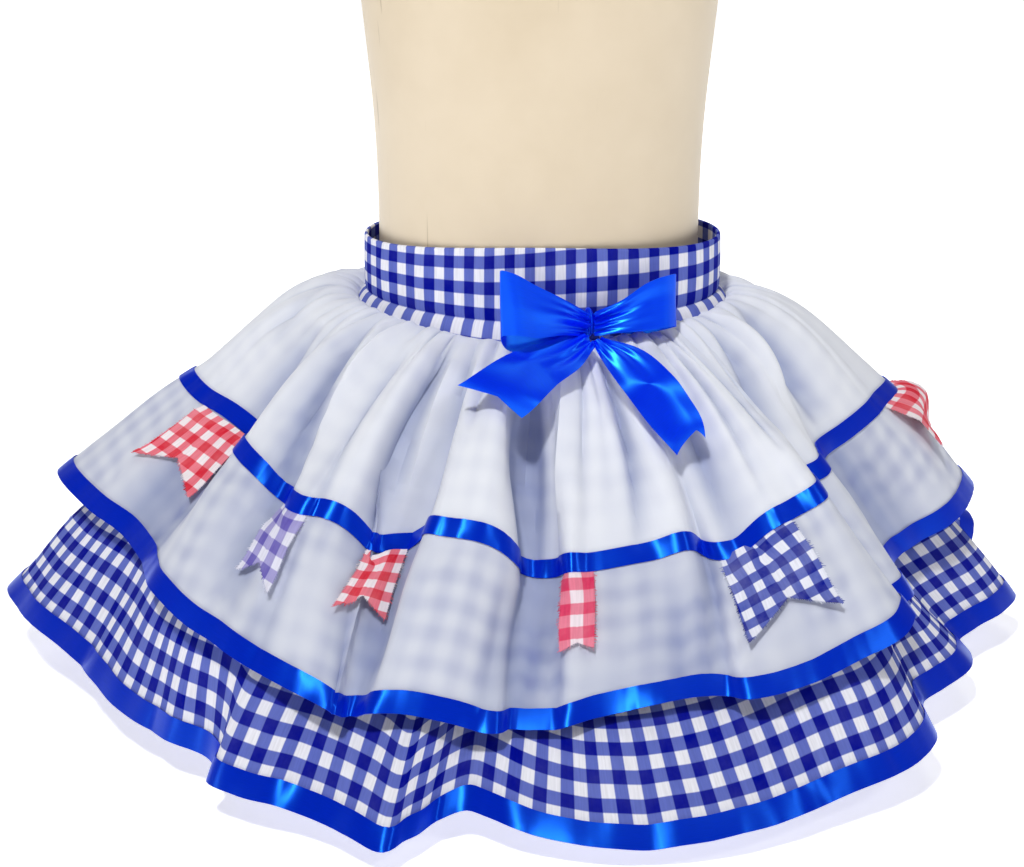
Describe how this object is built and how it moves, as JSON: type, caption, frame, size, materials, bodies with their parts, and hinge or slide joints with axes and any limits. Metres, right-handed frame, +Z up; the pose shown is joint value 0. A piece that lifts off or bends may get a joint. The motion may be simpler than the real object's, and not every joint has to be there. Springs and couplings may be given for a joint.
{
  "type": "festa junina skirt on dress form",
  "caption": "Toddler's gathered skirt, white voile over blue gingham with satin ribbons, flags and a bow, worn by a limbless dress form.",
  "frame": {"origin": "centre of the dress form's flat base, on the surface that it stands on", "axes": "+Z up along the form; -Y towards the front, where the bow is; +X towards the wearer's left"},
  "size_m": [0.5854, 0.5261, 0.571],
  "materials": {
    "gingham": "matt cotton gingham",
    "voile": "sheer white voile",
    "satin_ribbon": "glossy satin weave",
    "bow_satin": "glossy satin weave",
    "red_flag": "matt cotton gingham",
    "lilac_flag": "matt cotton gingham",
    "blue_flag": "matt cotton gingham",
    "form": "smooth cream with faint scratches"
  },
  "bodies": {
    "root": {"waistband": "gingham", "overskirt_front": "voile", "overskirt_back": "voile", "underskirt_front": "gingham", "underskirt_back": "gingham", "ribbon_upper": "satin_ribbon", "ribbon_middle": "satin_ribbon", "ribbon_hem": "satin_ribbon", "bow_loop_left": "bow_satin", "bow_loop_right": "bow_satin", "bow_knot": "bow_satin", "bow_tail_left": "bow_satin", "bow_tail_right": "bow_satin", "dress_form": "form", "flag_blue_back_left": "blue_flag", "flag_blue_back_right": "blue_flag", "flag_blue_left_front": "blue_flag", "flag_lilac_back": "lilac_flag", "flag_lilac_right": "lilac_flag", "flag_pink_front": "red_flag", "flag_red_back_left": "red_flag", "flag_red_back_right": "red_flag", "flag_red_left_side": "red_flag", "flag_red_right_front": "red_flag", "flag_red_right_side": "red_flag"}
  },
  "joints": []
}
